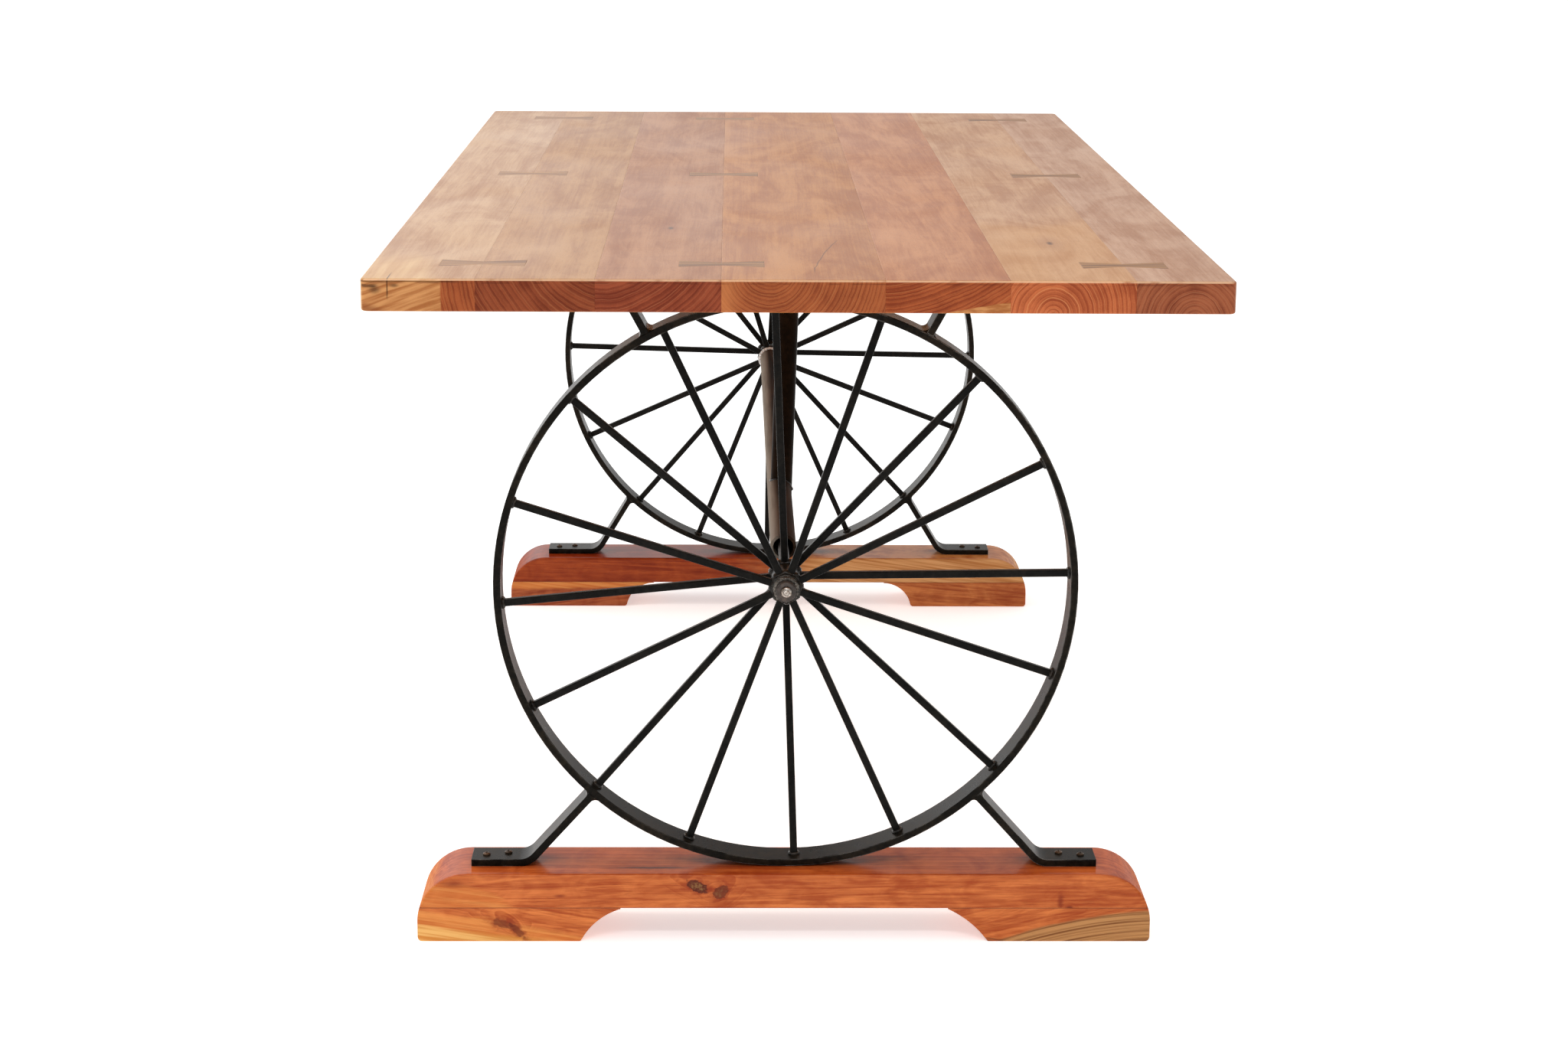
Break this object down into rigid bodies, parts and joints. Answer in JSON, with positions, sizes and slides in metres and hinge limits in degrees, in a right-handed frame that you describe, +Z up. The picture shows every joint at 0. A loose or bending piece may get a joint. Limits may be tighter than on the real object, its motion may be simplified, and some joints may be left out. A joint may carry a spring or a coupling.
{
  "type": "wagon wheel table",
  "caption": "Rectangular plank-top dining table carried by steel wagon wheels on arched wooden feet, joined by a pipe stretcher.",
  "frame": {"origin": "on the floor, under the middle of the tabletop", "axes": "+Y along the length of the top away from the near end, +X across the top to the right as seen from the near end, +Z up"},
  "size_m": [0.896, 1.8, 0.76],
  "materials": {
    "board_wood": "glossy clear lacquer over brown-red hardwood",
    "key_wood": "dark inlaid hardwood under the same lacquer",
    "foot_wood": "glossy orange-brown hardwood with pale sapwood",
    "black_steel": "semi-gloss near-black paint over worked flat and square bar",
    "pipe_steel": "warm brown-black paint over pipe",
    "rod_steel": "worn bright rod end",
    "nose_steel": "dark paint rubbed at the edges",
    "screw_steel": "dark browned screws"
  },
  "bodies": {
    "root": {"butterfly_key_far_centre": "key_wood", "butterfly_key_far_left": "key_wood", "butterfly_key_far_right": "key_wood", "butterfly_key_middle_centre": "key_wood", "butterfly_key_middle_left": "key_wood", "butterfly_key_middle_right": "key_wood", "butterfly_key_near_centre": "key_wood", "butterfly_key_near_left": "key_wood", "butterfly_key_near_right": "key_wood", "centre_post": "pipe_steel", "far_foot_beam": "foot_wood", "far_foot_pad_left": "foot_wood", "far_foot_pad_right": "foot_wood", "far_foot_screws": "screw_steel", "far_hub": "black_steel", "far_hub_nose": "nose_steel", "far_inner_spokes": "black_steel", "far_left_lower_strap": "black_steel", "far_left_upper_strap": "black_steel", "far_outer_spokes": "black_steel", "far_right_lower_strap": "black_steel", "far_right_upper_strap": "black_steel", "far_rim": "black_steel", "far_top_screws": "screw_steel", "near_foot_beam": "foot_wood", "near_foot_pad_left": "foot_wood", "near_foot_pad_right": "foot_wood", "near_foot_screws": "screw_steel", "near_hub": "black_steel", "near_hub_nose": "nose_steel", "near_inner_spokes": "black_steel", "near_left_lower_strap": "black_steel", "near_left_upper_strap": "black_steel", "near_outer_spokes": "black_steel", "near_right_lower_strap": "black_steel", "near_right_upper_strap": "black_steel", "near_rim": "black_steel", "near_top_screws": "screw_steel", "plate_screws": "screw_steel", "post_plate": "pipe_steel", "stretcher_pipe": "pipe_steel", "tie_rod": "rod_steel", "top_board_1": "board_wood", "top_board_2": "board_wood", "top_board_3": "board_wood", "top_board_4": "board_wood", "top_board_5": "board_wood", "top_board_6": "board_wood", "top_board_7": "board_wood"}
  },
  "joints": []
}
